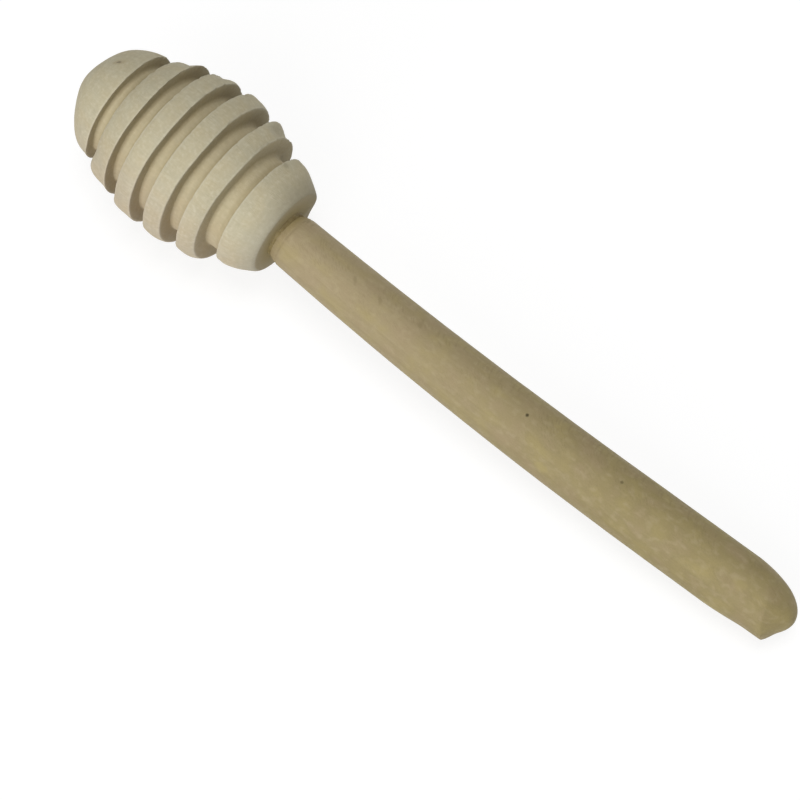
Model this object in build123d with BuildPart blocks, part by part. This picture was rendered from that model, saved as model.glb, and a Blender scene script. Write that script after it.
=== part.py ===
from build123d import *
from math import asin, atan, cos, radians, sin, sqrt, tan
import os

# A honey dipper in three pieces: a turned head with five grooves, a slightly bowed handle
# whose tenon goes into the head, and the glue between them.
# Millimetres, +Z up. The dipper lies at rest, on its widest ring and on the handle's end,
# with the head towards -X. The origin is under the middle of its length, on the table.

OVERALL_LENGTH = 160.0

# Head: a dome, evenly pitched grooves that widen and deepen towards the base, and bulging rings
# between them. The shares give each groove's width and depth, and the radius at its two edges.
HEAD_RADIUS = 15.46
DOME_LENGTH = 9.75
GROOVE_PITCH = 6.88
BASE_LENGTH = 6.47
GROOVE_WIDTH = 3.56
GROOVE_DEPTH = 3.65
RING_CROWN = 0.33
BASE_CROWN = 0.3
BASE_BACK_RADIUS = 8.77
RING_EDGE_CHAMFER = 0.15
GROOVE_WIDTH_SHARES = (0.715, 0.855, 0.893, 0.941, 1.0)
GROOVE_DEPTH_SHARES = (0.63, 0.81, 0.86, 0.95, 1.0)
FRONT_EDGE_SHARES = (0.737, 0.928, 0.990, 0.967, 0.869)
BACK_EDGE_SHARES = (0.774, 0.965, 0.992, 0.934, 0.746)

# Joint: a plain socket, bored a little aslant, and a tenon with glue round it
SOCKET_DEPTH = 12.6
SOCKET_LEAN = 1.83
TENON_RADIUS = 4.0
TENON_CHAMFER = 0.6
TENON_END_ROOM = 0.5
GLUE_FILM = 0.12
GLUE_BEAD = 0.4

# Handle: a shoulder chamfer, a bowed stretch that swells a little, and a straight grip.
# The bow bulges sideways and down, leaning below the level by BOW_LEAN.
SHOULDER_STEP = 0.5
SHOULDER_LENGTH = 1.9
NECK_RADIUS = 5.13
GRIP_RADIUS = 6.0
GRIP_RUN = 34.55
SWELL = 0.11
BOW_RADIUS = 1030.0
BOW_LEAN = 21.4
BOW_SECTIONS = 8

# Rounded end of the grip: part of an egg-shaped form that is tilted against it
EGG_HALF_LENGTH = 25.0
EGG_HALF_WIDTH = 9.7
EGG_TILT = 14.8
EGG_SKIM = 0.04
OVERRUN = 1.0

# Stations and radii of the head's profile, from the tip along the lathe's axis
groove_starts = [DOME_LENGTH + GROOVE_PITCH * i for i in range(len(GROOVE_WIDTH_SHARES))]
groove_ends = [start + GROOVE_WIDTH * share for start, share in zip(groove_starts, GROOVE_WIDTH_SHARES)]
head_length = groove_ends[-1] + BASE_LENGTH
front_edges = [HEAD_RADIUS * share for share in FRONT_EDGE_SHARES]
back_edges = [HEAD_RADIUS * share for share in BACK_EDGE_SHARES]
floors = [edge - GROOVE_DEPTH * share for edge, share in zip(front_edges, GROOVE_DEPTH_SHARES)]
ring_ends = groove_starts[1:] + [head_length]
ring_end_radii = front_edges[1:] + [BASE_BACK_RADIUS]
ring_crowns = [RING_CROWN] * (len(groove_ends) - 1) + [BASE_CROWN]

# The handle's line in the plane of its bow: x along the lathe's axis, y the way that it bulges.
# The shoulder stands off the head's back by the glue film on its low side.
lean = radians(SOCKET_LEAN)
shoulder_radius = TENON_RADIUS + SHOULDER_STEP
socket_floor_x = head_length - SOCKET_DEPTH
seat_gap = GLUE_FILM + shoulder_radius * tan(lean)
neck_run = SOCKET_DEPTH / cos(lean) + seat_gap
tenon_length = neck_run - TENON_END_ROOM
neck_x = socket_floor_x + neck_run * cos(lean)
neck_y = neck_run * sin(lean)
bow_x = neck_x + SHOULDER_LENGTH * cos(lean)
bow_y = neck_y + SHOULDER_LENGTH * sin(lean)
grip_x = OVERALL_LENGTH - GRIP_RUN
grip_slope = asin(sin(lean) - (grip_x - bow_x) / BOW_RADIUS)
grip_y = bow_y + BOW_RADIUS * (cos(grip_slope) - cos(lean))
grip_length = GRIP_RUN / cos(grip_slope)

# The egg-shaped end in the grip's own frame. Its side touches the grip's, and its far end
# is the end of the handle.
tilt = radians(EGG_TILT)
egg_reach = sqrt((EGG_HALF_LENGTH * cos(tilt)) ** 2 + (EGG_HALF_WIDTH * sin(tilt)) ** 2)
egg_side = sqrt((EGG_HALF_LENGTH * sin(tilt)) ** 2 + (EGG_HALF_WIDTH * cos(tilt)) ** 2)
egg_touch = (EGG_HALF_LENGTH**2 - EGG_HALF_WIDTH**2) * sin(tilt) * cos(tilt) / egg_side
egg_x = grip_length - egg_reach
egg_y = egg_side - GRIP_RADIUS - EGG_SKIM


def run_on_the_grip(across, aside):
    """How far a line along the grip runs from the grip's start before the egg's surface ends it."""
    rise = across - egg_y
    a = (cos(tilt) / EGG_HALF_LENGTH) ** 2 + (sin(tilt) / EGG_HALF_WIDTH) ** 2
    b = rise * sin(tilt) * cos(tilt) * (1 / EGG_HALF_WIDTH**2 - 1 / EGG_HALF_LENGTH**2)
    c = (rise * sin(tilt) / EGG_HALF_LENGTH) ** 2
    c += ((rise * cos(tilt)) ** 2 + aside**2) / EGG_HALF_WIDTH**2 - 1
    return egg_x + (sqrt(b * b - a * c) - b) / a


# Rest pose: the widest ring's middle and the grip's lowest line both touch the table
roll = radians(BOW_LEAN)
widest = front_edges.index(max(front_edges))
foot_x = (groove_ends[widest] + groove_starts[widest + 1]) / 2
foot_radius = (back_edges[widest] + front_edges[widest + 1]) / 2 + RING_CROWN
heel_run = run_on_the_grip(GRIP_RADIUS * sin(roll), GRIP_RADIUS * cos(roll))
heel_x = grip_x + heel_run * cos(grip_slope)
heel_drop = GRIP_RADIUS + (grip_y + heel_run * sin(grip_slope)) * sin(roll)
pitch = atan((foot_radius - heel_drop) / (heel_x - foot_x))
tip_x = -OVERALL_LENGTH * cos(pitch) / 2
tip_z = foot_x * sin(pitch) + foot_radius * cos(pitch)

MERIDIAN = Plane(origin=(tip_x, 0, tip_z), x_dir=(cos(pitch), 0, -sin(pitch)), z_dir=(0, -1, 0))
BOW_PLANE = Plane(MERIDIAN.location * Rotation(90 + BOW_LEAN, 0, 0))
LATHE_AXIS = Axis(MERIDIAN.origin, MERIDIAN.x_dir)


def plane_on_the_bow(x, y, slope):
    """A plane in the plane of the bow, with its x axis along the handle at that place."""
    along = BOW_PLANE.x_dir * cos(slope) + BOW_PLANE.y_dir * sin(slope)
    return Plane(origin=BOW_PLANE.from_local_coords((x, y, 0)), x_dir=along, z_dir=BOW_PLANE.z_dir)


SEAT = plane_on_the_bow(neck_x, neck_y, lean)
GRIP = plane_on_the_bow(grip_x, grip_y, grip_slope)
EGG = plane_on_the_bow(
    grip_x + egg_x * cos(grip_slope) - egg_y * sin(grip_slope),
    grip_y + egg_x * sin(grip_slope) + egg_y * cos(grip_slope),
    grip_slope - tilt,
)
SEAT_AXIS = Axis(SEAT.origin, SEAT.x_dir)


def corner_near(x, y):
    """The corner of the sketch in hand that lies nearest to a place in its plane."""
    return vertices().sort_by_distance((x, y))[0]


# Head: the profile is turned about the lathe's axis, then the socket is bored
with BuildPart() as dipper_head:
    with BuildSketch(MERIDIAN):
        with BuildLine():
            TangentArc((0, 0), (groove_starts[0], front_edges[0]), tangent=(0, 1))
            for i, floor in enumerate(floors):
                start, end = groove_starts[i], groove_ends[i]
                Polyline((start, front_edges[i]), (start, floor), (end, floor), (end, back_edges[i]))
                SagittaArc((end, back_edges[i]), (ring_ends[i], ring_end_radii[i]), ring_crowns[i])
            Polyline((head_length, BASE_BACK_RADIUS), (head_length, 0), (0, 0))
        make_face()
        ring_corners = list(zip(groove_starts, front_edges)) + list(zip(groove_ends, back_edges))
        ring_corners.append((head_length, BASE_BACK_RADIUS))
        chamfer([corner_near(x, y) for x, y in ring_corners], RING_EDGE_CHAMFER)
    revolve(axis=LATHE_AXIS)
    with BuildSketch(Plane(origin=SEAT.origin - SEAT.x_dir * neck_run, z_dir=SEAT.x_dir)):
        Circle(TENON_RADIUS + GLUE_FILM)
    extrude(amount=neck_run + OVERRUN, mode=Mode.SUBTRACT)

# What is rounded away from the end of a plain round grip
with BuildPart() as end_waste:
    with BuildSketch(Plane(origin=GRIP.origin + GRIP.x_dir * (egg_x + egg_touch), z_dir=GRIP.x_dir)):
        Circle(GRIP_RADIUS + OVERRUN)
    extrude(amount=egg_reach - egg_touch + OVERRUN)
    with BuildSketch(EGG):
        Ellipse(EGG_HALF_LENGTH, EGG_HALF_WIDTH)
        split(bisect_by=Plane.XZ, keep=Keep.TOP)
    revolve(axis=Axis(EGG.origin, EGG.x_dir), mode=Mode.SUBTRACT)

# Handle: tenon and shoulder, the bowed stretch lofted through round sections, and the straight grip.
# The loft is ruled, so that the long bow needs few facets.
with BuildPart() as handle:
    with BuildSketch(SEAT):
        with BuildLine():
            Polyline(
                (-tenon_length, 0),
                (-tenon_length, TENON_RADIUS - TENON_CHAMFER),
                (TENON_CHAMFER - tenon_length, TENON_RADIUS),
                (0, TENON_RADIUS),
                (0, shoulder_radius),
                (SHOULDER_LENGTH, NECK_RADIUS),
                (SHOULDER_LENGTH, 0),
                close=True,
            )
        make_face()
    revolve(axis=SEAT_AXIS)
    for i in range(BOW_SECTIONS):
        share = i / (BOW_SECTIONS - 1)
        slope = lean + (grip_slope - lean) * share
        x = bow_x + BOW_RADIUS * (sin(lean) - sin(slope))
        y = bow_y + BOW_RADIUS * (cos(slope) - cos(lean))
        place = plane_on_the_bow(x, y, slope)
        radius = NECK_RADIUS + (GRIP_RADIUS - NECK_RADIUS) * share + 4 * SWELL * share * (1 - share)
        with BuildSketch(Plane(origin=place.origin, x_dir=place.z_dir, z_dir=place.x_dir)):
            Circle(radius)
    loft(ruled=True)
    with BuildSketch(Plane(origin=GRIP.origin, x_dir=GRIP.z_dir, z_dir=GRIP.x_dir)):
        Circle(GRIP_RADIUS)
    extrude(amount=grip_length)
    add(end_waste.part, mode=Mode.SUBTRACT)

# Glue: it fills the socket round the tenon and stands out as a bead round the shoulder
with BuildPart() as glue:
    with BuildSketch(SEAT):
        with BuildLine():
            Polyline(
                (-neck_run, 0),
                (-neck_run, TENON_RADIUS + GLUE_FILM),
                (-seat_gap, TENON_RADIUS + GLUE_FILM),
                (-2 * seat_gap, shoulder_radius + GLUE_BEAD),
                (0, shoulder_radius + GLUE_BEAD),
                (GLUE_BEAD, shoulder_radius),
                (GLUE_BEAD, 0),
                close=True,
            )
        make_face()
    revolve(axis=SEAT_AXIS)
    add(dipper_head.part, mode=Mode.SUBTRACT)
    add(handle.part, mode=Mode.SUBTRACT)

dipper_head.part.label = "dipper_head"
handle.part.label = "handle"
glue.part.label = "glue"

os.makedirs("parts", exist_ok=True)
export_step(dipper_head.part, "parts/dipper_head.step")
export_step(handle.part, "parts/handle.step")
export_step(glue.part, "parts/glue.step")
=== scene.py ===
import bpy
from math import asin, atan, atan2, ceil, cos, hypot, pi, radians, sin, sqrt, tan
from mathutils import Matrix, Vector


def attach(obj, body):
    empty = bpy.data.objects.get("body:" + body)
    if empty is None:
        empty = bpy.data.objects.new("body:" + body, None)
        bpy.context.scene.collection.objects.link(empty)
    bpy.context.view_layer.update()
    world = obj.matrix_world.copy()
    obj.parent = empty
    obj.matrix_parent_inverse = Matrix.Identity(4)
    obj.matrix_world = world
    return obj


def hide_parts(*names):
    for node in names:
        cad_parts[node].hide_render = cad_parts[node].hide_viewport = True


# A honey dipper: a pale turned head with five grooves, a slightly bowed yellower handle whose
# tenon goes into the head, and the dried glue between them. Each piece is modelled on a bench in
# millimetres, with the lathe's axis along +X from the head's tip and +Y the way that the handle
# bulges, and is then laid on the table at real size in metres.

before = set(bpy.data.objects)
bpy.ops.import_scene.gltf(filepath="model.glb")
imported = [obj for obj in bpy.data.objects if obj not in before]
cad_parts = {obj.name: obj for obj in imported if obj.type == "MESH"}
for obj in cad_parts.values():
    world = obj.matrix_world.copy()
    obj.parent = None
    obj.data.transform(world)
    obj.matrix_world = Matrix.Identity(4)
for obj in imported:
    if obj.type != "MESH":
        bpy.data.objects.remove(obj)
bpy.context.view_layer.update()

MM = 0.001
SMOOTH_ANGLE = 40
TURN = 2 * pi
SAME_PLACE = 1e-3
MERGE_DISTANCE = 1e-4

# Sizes of the turned pieces
OVERALL_LENGTH = 160.0
HEAD_RADIUS = 15.46
DOME_LENGTH = 9.75
GROOVE_PITCH = 6.88
BASE_LENGTH = 6.47
GROOVE_WIDTH = 3.56
GROOVE_DEPTH = 3.65
RING_CROWN = 0.33
BASE_CROWN = 0.3
BASE_BACK_RADIUS = 8.77
GROOVE_WIDTH_SHARES = (0.715, 0.855, 0.893, 0.941, 1.0)
GROOVE_DEPTH_SHARES = (0.63, 0.81, 0.86, 0.95, 1.0)
FRONT_EDGE_SHARES = (0.737, 0.928, 0.990, 0.967, 0.869)
BACK_EDGE_SHARES = (0.774, 0.965, 0.992, 0.934, 0.746)
SOCKET_DEPTH = 12.6
SOCKET_LEAN = 1.83
TENON_RADIUS = 4.0
TENON_CHAMFER = 0.6
TENON_END_ROOM = 0.5
GLUE_FILM = 0.12
SHOULDER_STEP = 0.5
SHOULDER_LENGTH = 1.9
NECK_RADIUS = 5.13
GRIP_RADIUS = 6.0
GRIP_RUN = 34.55
SWELL = 0.11
BOW_RADIUS = 1030.0
BOW_LEAN = 21.4
EGG_HALF_LENGTH = 25.0
EGG_HALF_WIDTH = 9.7
EGG_TILT = 14.8
EGG_SKIM = 0.04

groove_starts = [DOME_LENGTH + GROOVE_PITCH * i for i in range(len(GROOVE_WIDTH_SHARES))]
groove_ends = [start + GROOVE_WIDTH * share for start, share in zip(groove_starts, GROOVE_WIDTH_SHARES)]
head_length = groove_ends[-1] + BASE_LENGTH
front_edges = [HEAD_RADIUS * share for share in FRONT_EDGE_SHARES]
back_edges = [HEAD_RADIUS * share for share in BACK_EDGE_SHARES]
floors = [edge - GROOVE_DEPTH * share for edge, share in zip(front_edges, GROOVE_DEPTH_SHARES)]
ring_ends = groove_starts[1:] + [head_length]
ring_end_radii = front_edges[1:] + [BASE_BACK_RADIUS]
ring_crowns = [RING_CROWN] * (len(groove_ends) - 1) + [BASE_CROWN]

lean = radians(SOCKET_LEAN)
shoulder_radius = TENON_RADIUS + SHOULDER_STEP
seat_gap = GLUE_FILM + shoulder_radius * tan(lean)
neck_run = SOCKET_DEPTH / cos(lean) + seat_gap
tenon_length = neck_run - TENON_END_ROOM
neck_x = head_length - SOCKET_DEPTH + neck_run * cos(lean)
neck_y = neck_run * sin(lean)
bow_x = neck_x + SHOULDER_LENGTH * cos(lean)
bow_y = neck_y + SHOULDER_LENGTH * sin(lean)
grip_x = OVERALL_LENGTH - GRIP_RUN
grip_slope = asin(sin(lean) - (grip_x - bow_x) / BOW_RADIUS)
grip_y = bow_y + BOW_RADIUS * (cos(grip_slope) - cos(lean))
grip_length = GRIP_RUN / cos(grip_slope)
bow_length = BOW_RADIUS * (lean - grip_slope)

tilt = radians(EGG_TILT)
egg_reach = hypot(EGG_HALF_LENGTH * cos(tilt), EGG_HALF_WIDTH * sin(tilt))
egg_side = hypot(EGG_HALF_LENGTH * sin(tilt), EGG_HALF_WIDTH * cos(tilt))
egg_touch = (EGG_HALF_LENGTH**2 - EGG_HALF_WIDTH**2) * sin(tilt) * cos(tilt) / egg_side
egg_x = grip_length - egg_reach
egg_y = egg_side - GRIP_RADIUS - EGG_SKIM


def run_on_the_grip(across, aside):
    """How far a line along the grip runs before the egg-shaped end stops it."""
    rise = across - egg_y
    a = (cos(tilt) / EGG_HALF_LENGTH) ** 2 + (sin(tilt) / EGG_HALF_WIDTH) ** 2
    b = rise * sin(tilt) * cos(tilt) * (1 / EGG_HALF_WIDTH**2 - 1 / EGG_HALF_LENGTH**2)
    c = (rise * sin(tilt) / EGG_HALF_LENGTH) ** 2
    c += ((rise * cos(tilt)) ** 2 + aside**2) / EGG_HALF_WIDTH**2 - 1
    return egg_x + (sqrt(b * b - a * c) - b) / a


# Where the dipper lies: on its widest ring and on the grip's lowest line
roll = radians(BOW_LEAN)
widest = front_edges.index(max(front_edges))
foot_x = (groove_ends[widest] + groove_starts[widest + 1]) / 2
foot_radius = (back_edges[widest] + front_edges[widest + 1]) / 2 + RING_CROWN
heel_run = run_on_the_grip(GRIP_RADIUS * sin(roll), GRIP_RADIUS * cos(roll))
heel_x = grip_x + heel_run * cos(grip_slope)
heel_drop = GRIP_RADIUS + (grip_y + heel_run * sin(grip_slope)) * sin(roll)
pitch = atan((foot_radius - heel_drop) / (heel_x - foot_x))
tip = Vector((-OVERALL_LENGTH * cos(pitch) / 2, 0, foot_x * sin(pitch) + foot_radius * cos(pitch)))
along = Vector((cos(pitch), 0, -sin(pitch)))
upward = Vector((sin(pitch), 0, cos(pitch)))
bulge = Vector((0, -cos(roll), 0)) - upward * sin(roll)
aside = along.cross(bulge)
bench_turn = Matrix((along, bulge, aside)).transposed().to_4x4()
bench_to_table = Matrix.Translation(tip * MM) @ bench_turn @ Matrix.Scale(MM, 4)


# Bench tools
def put_down():
    """Leaves edit mode and drops the selection."""
    if bpy.context.mode != "OBJECT":
        bpy.ops.object.mode_set(mode="OBJECT")
    bpy.ops.object.select_all(action="DESELECT")


def take(piece):
    """Selects one piece alone and makes it active."""
    put_down()
    piece.select_set(True)
    bpy.context.view_layer.objects.active = piece


def pick_points(piece, wanted):
    """In edit mode: selects the points whose place on the bench is wanted."""
    bpy.ops.mesh.select_mode(type="VERT")
    bpy.ops.mesh.select_all(action="DESELECT")
    bpy.ops.object.mode_set(mode="OBJECT")
    for point in piece.data.vertices:
        point.select = wanted(point.co)
    bpy.ops.object.mode_set(mode="EDIT")


def mark_points(piece, name, share):
    """A vertex group whose weight at each point is a share from 0 to 1."""
    group = piece.vertex_groups.new(name=name)
    for point in piece.data.vertices:
        weight = share(point.co)
        if weight > 0:
            group.add([point.index], min(weight, 1.0), "REPLACE")
    return group


def apply(piece, kind, **settings):
    """Gives a piece one modifier and applies it."""
    take(piece)
    modifier = piece.modifiers.new(kind.lower(), kind)
    for name, value in settings.items():
        setattr(modifier, name, value)
    bpy.ops.object.modifier_apply(modifier=modifier.name)


def straight(start, end, spacing):
    """Points from start to end, the start left out, no further apart than the spacing."""
    count = max(1, ceil(hypot(end[0] - start[0], end[1] - start[1]) / spacing))
    return [
        (start[0] + (end[0] - start[0]) * i / count, start[1] + (end[1] - start[1]) * i / count)
        for i in range(1, count + 1)
    ]


def crowned(start, end, crown, spacing):
    """Like straight, but standing out by the crown at the middle."""
    run, rise = end[0] - start[0], end[1] - start[1]
    length = hypot(run, rise)
    points = straight(start, end, spacing)
    bowed = []
    for i, (x, y) in enumerate(points, start=1):
        share = i / len(points)
        out = 4 * crown * share * (1 - share)
        bowed.append((x - rise / length * out, y + run / length * out))
    return bowed


def hollow_corner(x, floor, way, radius, points=6):
    """The rounded foot of a groove's wall, from the wall to the floor, which runs towards way * X."""
    corner = []
    for i in range(points + 1):
        angle = pi / 2 * i / points
        corner.append((x + way * radius * (1 - cos(angle)), floor + radius * (1 - sin(angle))))
    return corner


def rounded_off(profile, end, points=7):
    """The profile with its last corner rounded: it leaves two points early and bends round to the end."""
    begin, corner = profile[-3], profile[-1]
    bend = []
    for i in range(1, points + 1):
        share = i / points
        early, middle, late = (1 - share) ** 2, 2 * share * (1 - share), share**2
        bend.append(tuple(early * a + middle * b + late * c for a, b, c in zip(begin, corner, end)))
    return profile[:-2] + bend


def turned(name, profile, steps, corners=(), corner_radius=0.0, corner_segments=3):
    """A turned solid. A point is drawn along the profile, its corners are rounded, and it is spun."""
    put_down()
    bpy.ops.mesh.primitive_plane_add(size=1.0)
    piece = bpy.context.object
    piece.name = name
    piece.data.name = name
    bpy.ops.object.mode_set(mode="EDIT")
    bpy.ops.mesh.merge(type="CENTER")
    x, radius = profile[0]
    bpy.ops.transform.translate(value=(x, radius, 0))
    for next_x, next_radius in profile[1:]:
        bpy.ops.mesh.extrude_vertices_move(
            TRANSFORM_OT_translate={"value": (next_x - x, next_radius - radius, 0)}
        )
        x, radius = next_x, next_radius
    if corners:
        pick_points(piece, lambda co: any(hypot(co.x - cx, co.y - cr) < SAME_PLACE for cx, cr in corners))
        bpy.ops.mesh.bevel(
            affect="VERTICES", offset_type="OFFSET", offset=corner_radius, segments=corner_segments
        )
    bpy.ops.mesh.select_all(action="SELECT")
    bpy.ops.mesh.spin(steps=steps, angle=TURN, use_auto_merge=True, center=(0, 0, 0), axis=(1, 0, 0))
    bpy.ops.mesh.select_all(action="SELECT")
    bpy.ops.mesh.remove_doubles(threshold=MERGE_DISTANCE)
    bpy.ops.mesh.normals_make_consistent(inside=False)
    put_down()
    return piece


def press(piece, spot, reach, move):
    """Moves the surface smoothly about a spot, as an uneven cut or a knock does."""

    def share(co):
        away = sum(((co[k] - spot[k]) / reach[k]) ** 2 for k in range(3))
        return (1 - away) ** 2 if away < 1 else 0.0

    mark_points(piece, "pressed", share)
    for axis, distance in zip("XYZ", move):
        if distance:
            settings = {"direction": axis, "mid_level": 0.0, "strength": distance}
            apply(piece, "DISPLACE", vertex_group="pressed", **settings)
    piece.vertex_groups.remove(piece.vertex_groups["pressed"])


def cloud(name, size, contrast=1.0, brightness=1.0):
    """Soft lumps of one size in millimetres, for the surfaces' unevenness."""
    texture = bpy.data.textures.new(name, "CLOUDS")
    texture.use_clamp = True
    texture.noise_scale = size
    texture.contrast = contrast
    texture.intensity = brightness
    return texture


def uneven(piece, texture, depth, group=""):
    """Presses the surface in where the texture is dark, by up to the depth."""
    apply(
        piece,
        "DISPLACE",
        texture=texture,
        texture_coords="LOCAL",
        direction="NORMAL",
        mid_level=1.0,
        strength=depth,
        vertex_group=group,
    )


def paint_share(piece, name, share):
    """A share from 0 to 1 on each point, which the finish reads."""
    layer = piece.data.attributes.new(name, "FLOAT", "POINT")
    layer.data.foreach_set("value", [share(point.co) for point in piece.data.vertices])


def lay_on_table(piece, node, finish):
    """Places a finished piece at real size, gives it its material and its body."""
    take(piece)
    piece.matrix_world = bench_to_table @ piece.matrix_world
    bpy.ops.object.transform_apply(location=True, rotation=True, scale=True)
    bpy.ops.object.shade_smooth_by_angle(angle=radians(SMOOTH_ANGLE))
    piece.vertex_groups.clear()
    piece.data.materials.clear()
    piece.data.materials.append(finish)
    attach(piece, "root")
    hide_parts(node)


# Head
HEAD_STEPS = 300
DOME_POINTS = 30
FINE = 0.42
WALL = 0.6
EDGE_RADIUS = 0.16
BACK_RIM = 0.6
FOOT_RADIUS = 0.6
FAR_FOOT_RADIUS = 0.3

dome_radius = (groove_starts[0] ** 2 + front_edges[0] ** 2) / (2 * groove_starts[0])
dome_turn = atan2(front_edges[0], dome_radius - groove_starts[0])
head_profile = [
    (dome_radius * (1 - cos(dome_turn * i / DOME_POINTS)), dome_radius * sin(dome_turn * i / DOME_POINTS))
    for i in range(DOME_POINTS + 1)
]
ring_edges = []
for i, floor in enumerate(floors):
    front = (groove_starts[i], front_edges[i])
    back = (groove_ends[i], back_edges[i])
    foot = hollow_corner(groove_starts[i], floor, 1, FOOT_RADIUS)
    far_foot = hollow_corner(groove_ends[i], floor, -1, FAR_FOOT_RADIUS)[::-1]
    ring_edges += [front, back]
    head_profile += straight(front, foot[0], WALL) + foot[1:]
    head_profile += straight(foot[-1], far_foot[0], FINE) + far_foot[1:]
    head_profile += straight(far_foot[-1], back, WALL)
    head_profile += crowned(back, (ring_ends[i], ring_end_radii[i]), ring_crowns[i], FINE)
head_profile = rounded_off(head_profile, (head_length, BASE_BACK_RADIUS - BACK_RIM))
head_profile += straight(head_profile[-1], (head_length, 0), WALL)
head = turned("turned_head", head_profile, HEAD_STEPS, ring_edges, EDGE_RADIUS)

# The socket is bored into the base at the handle's lean
BORE_SIDES = 96
OVERRUN = 2.0
put_down()
socket_way = Vector((cos(lean), sin(lean), 0))
bpy.ops.mesh.primitive_cylinder_add(
    vertices=BORE_SIDES,
    radius=TENON_RADIUS + GLUE_FILM,
    depth=neck_run + OVERRUN,
    location=Vector((neck_x, neck_y, 0)) + socket_way * (OVERRUN - neck_run) / 2,
    rotation=(0, pi / 2, lean),
)
borer = bpy.context.object
apply(head, "BOOLEAN", operation="DIFFERENCE", object=borer, solver="EXACT")
bpy.data.objects.remove(borer)


def beside_edge(co, reach):
    """1 at a ring's edge, falling to 0 at a distance from it."""
    radius = hypot(co.y, co.z)
    away = min(hypot(co.x - x, radius - r) for x, r in ring_edges)
    return max(0.0, 1 - away / reach)


ON_THE_FACE = 0.02


def on_a_wall(co):
    """1 on the flat walls of the grooves and on the base's back, falling to 0 over the rounded foot."""
    radius = hypot(co.y, co.z)
    if abs(co.x - head_length) < ON_THE_FACE:
        return 1.0 if radius < BASE_BACK_RADIUS else 0.0
    for i in range(len(floors)):
        from_wall = min(co.x - groove_starts[i], groove_ends[i] - co.x)
        if from_wall > -ON_THE_FACE and radius < max(front_edges[i], back_edges[i]):
            return max(0.0, 1 - max(0.0, from_wall) / FOOT_RADIUS)
    return 0.0


def on_a_floor(co):
    """1 on the grooves' floors, falling to 0 over the walls' rounded foot."""
    radius = hypot(co.y, co.z)
    for i, floor in enumerate(floors):
        if groove_starts[i] - ON_THE_FACE < co.x < groove_ends[i] + ON_THE_FACE:
            return max(0.0, 1 - (radius - floor) / FOOT_RADIUS)
    return 0.0


FAR_SIDE = 1.25
FAR_SIDE_FADE = 0.4


def painted_far_side_shade(co):
    """1 on the last stretch of a groove's floor, which gets painted shade next to the far wall, and 0 on
    the rest.
    """
    for start, end in zip(groove_starts, groove_ends):
        if start < co.x < end:
            return min(1.0, max(0.0, 1 - (end - FAR_SIDE - co.x) / FAR_SIDE_FADE))
    return 0.0


# Paler ring edges: partly wear and partly a painted highlight
WORN_HIGHLIGHT_REACH = 0.5
paint_share(head, "worn_edge_and_highlight", lambda co: beside_edge(co, WORN_HIGHLIGHT_REACH))
paint_share(head, "end_grain", on_a_wall)
# Painted shade at the far end of each groove's floor
paint_share(head, "far_side_shade", painted_far_side_shade)
paint_share(head, "groove_floor", on_a_floor)

# The grooves were cut a little off the head's own centre
FLOOR_SHIFT = 0.3
mark_points(head, "floor", on_a_floor)
apply(head, "DISPLACE", direction="Y", mid_level=0.0, strength=FLOOR_SHIFT, vertex_group="floor")

# Where the cut is uneven: a place on the bench, how far it reaches along X, Y and Z, and its move
SIDE_REACH = 5.0
ROUND_REACH = 7.0
UNEVEN_CUTS = (
    ((0.5, -5.0, -4.0), (4.5, 8.0, 8.0), (0.45, 0.0, 0.0)),
    ((2.0, 5.5, -4.0), (4.0, 6.5, 7.0), (0.45, 0.0, 0.0)),
    ((7.3, 10.5, -2.0), (3.8, SIDE_REACH, ROUND_REACH), (-0.2, 0.4, 0.0)),
    ((groove_starts[0], 10.5, 4.5), (1.2, 4.0, 4.5), (0.0, -0.5, 0.0)),
    ((groove_ends[0] + 2.3, -13.2, -2.9), (2.1, SIDE_REACH, ROUND_REACH), (0.0, 0.85, 0.0)),
    ((groove_ends[0], back_edges[0], -2.0), (3.8, SIDE_REACH, ROUND_REACH), (-0.7, 0.9, 0.0)),
    ((groove_ends[1] + 1.2, -14.9, -1.5), (1.9, SIDE_REACH, ROUND_REACH), (0.0, 0.8, 0.0)),
    ((groove_ends[1], back_edges[1], -1.0), (2.2, SIDE_REACH, ROUND_REACH), (-0.5, 0.25, 0.0)),
    ((groove_starts[2], front_edges[2], 1.0), (1.5, SIDE_REACH, ROUND_REACH), (0.0, 0.2, 0.0)),
    ((groove_ends[2], -back_edges[2], -1.5), (1.6, SIDE_REACH, ROUND_REACH), (0.0, -0.25, 0.0)),
    ((groove_ends[2], back_edges[2], 0.0), (2.0, SIDE_REACH, ROUND_REACH), (-0.45, 0.0, 0.0)),
    ((groove_ends[3], -back_edges[3], -1.5), (1.3, SIDE_REACH, ROUND_REACH), (0.0, -0.3, 0.0)),
    ((groove_ends[3] + 2.0, -14.0, -0.5), (1.8, SIDE_REACH, 9.0), (0.0, 1.5, 0.0)),
    ((groove_ends[3] + 1.1, -14.2, -1.8), (1.5, SIDE_REACH, ROUND_REACH), (0.0, 0.45, 0.0)),
    ((groove_ends[3], back_edges[3], 0.0), (2.0, SIDE_REACH, ROUND_REACH), (-0.45, -0.1, 0.0)),
    ((groove_ends[3] - GROOVE_WIDTH / 2, floors[3], 0.0), (2.5, 4.0, ROUND_REACH), (0.0, 0.2, 0.0)),
    ((groove_ends[4], back_edges[4], 0.0), (1.0, SIDE_REACH, ROUND_REACH), (-0.35, -0.15, 0.0)),
    ((groove_ends[4] + 2.6, 10.9, 0.0), (3.0, SIDE_REACH, ROUND_REACH), (0.0, 0.15, 0.0)),
    ((groove_ends[4] + 2.2, -10.9, 0.0), (2.2, SIDE_REACH, 6.0), (0.0, -0.2, 0.0)),
    ((head_length, -BASE_BACK_RADIUS, 1.0), (3.0, SIDE_REACH, 5.0), (-0.1, 0.1, 0.0)),
    ((head_length, -5.5, 7.0), (3.0, SIDE_REACH, 5.5), (-0.6, 0.1, 0.0)),
)
for spot, reach, move in UNEVEN_CUTS:
    press(head, spot, reach, move)

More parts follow.
